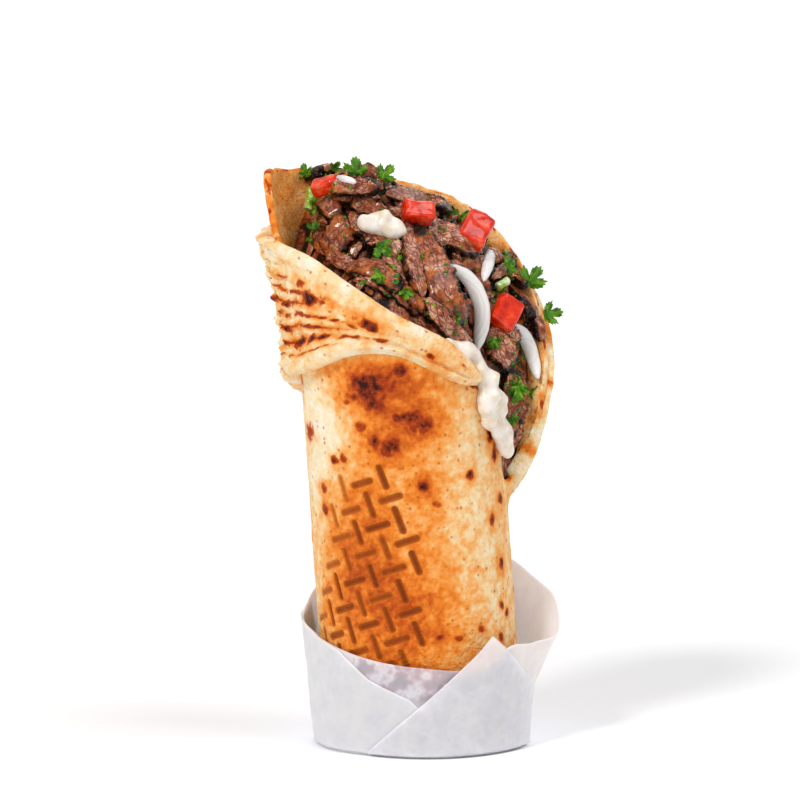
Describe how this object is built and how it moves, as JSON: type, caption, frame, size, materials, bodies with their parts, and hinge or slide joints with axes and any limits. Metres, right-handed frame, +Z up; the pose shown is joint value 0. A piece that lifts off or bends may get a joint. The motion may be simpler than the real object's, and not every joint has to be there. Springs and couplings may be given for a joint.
{
  "type": "shawarma wrap",
  "caption": "Shawarma wrap stood on end in a folded paper sleeve: griddled flatbread rolled round roast meat, tomato, onion, parsley and yoghurt sauce",
  "frame": {"origin": "the middle of the flat paper foot that the wrap stands on", "axes": "+Z up along the wrap's length; -Y is the serving side, which the lap's face and the spilt sauce look to; the open mouth slants to +X and -Y"},
  "size_m": [0.0981, 0.08, 0.1877],
  "materials": {
    "flatbread": "toasted, matt, with darker scorched spots",
    "roast_meat": "browned, moist, with crisp dark edges",
    "yoghurt_sauce": "thick, creamy and glossy",
    "tomato": "wet, red",
    "onion": "moist, pale, slightly see-through",
    "spring_onion": "fresh, pale green",
    "parsley": "fresh leaf green",
    "white_paper": "thin, matt, slightly see-through wrapping paper"
  },
  "bodies": {
    "root": {"flatbread": "flatbread", "meat_filling": "roast_meat", "sauce_dollop": "yoghurt_sauce", "sauce_spill": "yoghurt_sauce", "tomato_1": "tomato", "tomato_2": "tomato", "tomato_3": "tomato", "tomato_4": "tomato", "onion_1": "onion", "onion_2": "onion", "onion_3": "onion", "onion_4": "onion", "scallion_1": "spring_onion", "scallion_2": "spring_onion", "scallion_3": "spring_onion", "parsley_1": "parsley", "parsley_2": "parsley", "parsley_3": "parsley", "parsley_4": "parsley", "parsley_5": "parsley", "parsley_6": "parsley", "paper_wrap": "white_paper"}
  },
  "joints": []
}
